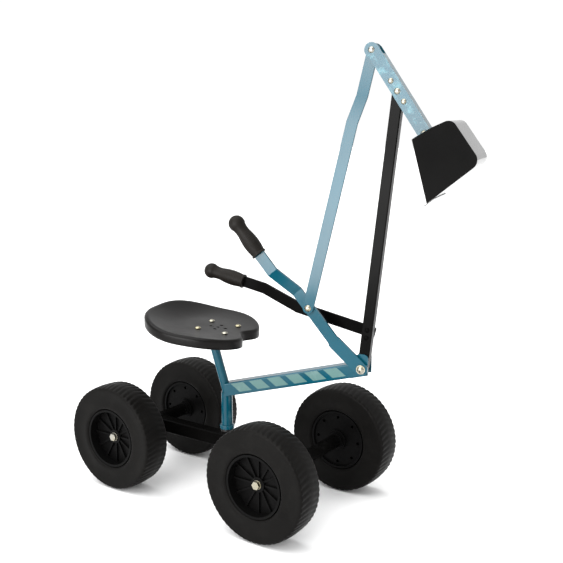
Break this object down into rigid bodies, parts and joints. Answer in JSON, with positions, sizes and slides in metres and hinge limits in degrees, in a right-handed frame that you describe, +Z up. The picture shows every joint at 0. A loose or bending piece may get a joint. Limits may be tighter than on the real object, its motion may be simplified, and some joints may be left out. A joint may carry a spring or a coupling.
{
  "type": "ride-on sand digger",
  "caption": "Ride-on sand digger: wheeled tube chassis, swivelling seat frame, and a tall lever-worked boom with a linked dipper arm and bucket.",
  "frame": {"origin": "on the floor, straight below the swivel axis", "axes": "+X along the chassis towards its wider, front axle; +Y to the left; +Z up along the swivel axis"},
  "size_m": [0.7303, 0.3203, 0.8162],
  "materials": {
    "blue_paint": "gloss powder coat",
    "black_paint": "semi-gloss powder coat",
    "tyre": "matt moulded",
    "hub_plastic": "moulded",
    "grip_rubber": "matt moulded",
    "nylon": "moulded",
    "tape": "satin self-adhesive film",
    "zinc": "zinc plated"
  },
  "bodies": {
    "chassis": {"front_axle_tube": "black_paint", "rear_axle_tube": "black_paint", "chassis_tube": "black_paint", "axle_bolts": "zinc", "axle_washers": "zinc", "axle_end_plugs": "black_paint", "axle_tube_screws": "zinc", "pivot_foot": "black_paint", "pivot_tube": "black_paint", "swivel_washer": "nylon", "swivel_bolt": "zinc", "swivel_nut": "zinc"},
    "front_left_wheel": {"front_left_tyre": "tyre", "front_left_hub": "hub_plastic", "front_left_bush": "nylon"},
    "front_right_wheel": {"front_right_tyre": "tyre", "front_right_hub": "hub_plastic", "front_right_bush": "nylon"},
    "rear_left_wheel": {"rear_left_tyre": "tyre", "rear_left_hub": "hub_plastic", "rear_left_bush": "nylon"},
    "rear_right_wheel": {"rear_right_tyre": "tyre", "rear_right_hub": "hub_plastic", "rear_right_bush": "nylon"},
    "swivel_frame": {"swivel_sleeve": "blue_paint", "swivel_collar": "blue_paint", "sleeve_plate": "blue_paint", "seat_post": "blue_paint", "beam": "blue_paint", "fork_cheek_left": "blue_paint", "fork_cheek_right": "blue_paint", "stripe_decals": "tape", "main_pivot_bolt": "zinc", "main_pivot_washers": "zinc", "seat_pan": "black_paint", "seat_bracket": "black_paint", "seat_bolts": "zinc", "seat_spacers": "zinc"},
    "boom": {"boom_tube": "black_paint", "boom_lower_bush": "nylon", "boom_upper_bush": "nylon", "boom_lever": "black_paint", "boom_lever_grip": "grip_rubber", "boom_lever_bolts": "zinc"},
    "bucket_lever": {"bucket_lever": "blue_paint", "bucket_lever_grip": "grip_rubber", "link_pin": "zinc", "link_pin_washer": "zinc"},
    "link": {"link": "blue_paint"},
    "dipper": {"dipper_channel": "blue_paint", "dipper_pivot_bolt": "zinc", "dipper_spacers": "zinc", "top_pin": "zinc", "dipper_rivets": "zinc", "bucket_side_left": "black_paint", "bucket_side_right": "black_paint", "bucket_shell": "black_paint", "cutting_lip": "black_paint", "dipper_foot": "blue_paint", "bucket_bolts": "zinc"}
  },
  "joints": [
    {"name": "front_left_roll", "type": "hinge", "parent": "chassis", "child": "front_left_wheel", "pos_m": [0.177, 0.132, 0.1], "axis": [0, 1, 0], "continuous": true},
    {"name": "front_right_roll", "type": "hinge", "parent": "chassis", "child": "front_right_wheel", "pos_m": [0.177, -0.132, 0.1], "axis": [0, 1, 0], "continuous": true},
    {"name": "rear_left_roll", "type": "hinge", "parent": "chassis", "child": "rear_left_wheel", "pos_m": [-0.177, 0.107, 0.1], "axis": [0, 1, 0], "continuous": true},
    {"name": "rear_right_roll", "type": "hinge", "parent": "chassis", "child": "rear_right_wheel", "pos_m": [-0.177, -0.107, 0.1], "axis": [0, 1, 0], "continuous": true},
    {"name": "seat_swivel", "type": "hinge", "parent": "chassis", "child": "swivel_frame", "pos_m": [0, 0, 0.1185], "axis": [0, 0, 1], "continuous": true},
    {"name": "boom_tilt", "type": "hinge", "parent": "swivel_frame", "child": "boom", "pos_m": [0.25616, 0.06387, 0.2656], "axis": [-0.2419, 0.9703, 0], "range_deg": [-8, 85]},
    {"name": "bucket_lever_pull", "type": "hinge", "parent": "boom", "child": "bucket_lever", "pos_m": [0.25616, 0.06387, 0.2656], "axis": [-0.2419, 0.9703, 0], "range_deg": [-25, 10]},
    {"name": "dipper_turn", "type": "hinge", "parent": "boom", "child": "dipper", "pos_m": [0.30593, 0.07628, 0.73782], "axis": [-0.2419, 0.9703, 0], "range_deg": [-44.3, 17.8]},
    {"name": "link_turn", "type": "hinge", "parent": "bucket_lever", "child": "link", "pos_m": [0.16303, 0.04065, 0.36778], "axis": [-0.2419, 0.9703, 0], "range_deg": [-9.9, 24.6]}
  ],
  "couplings": [
    {"joint": "dipper_turn", "follows": "bucket_lever_pull", "ratio": 1.7668},
    {"joint": "link_turn", "follows": "bucket_lever_pull", "ratio": -0.979}
  ]
}
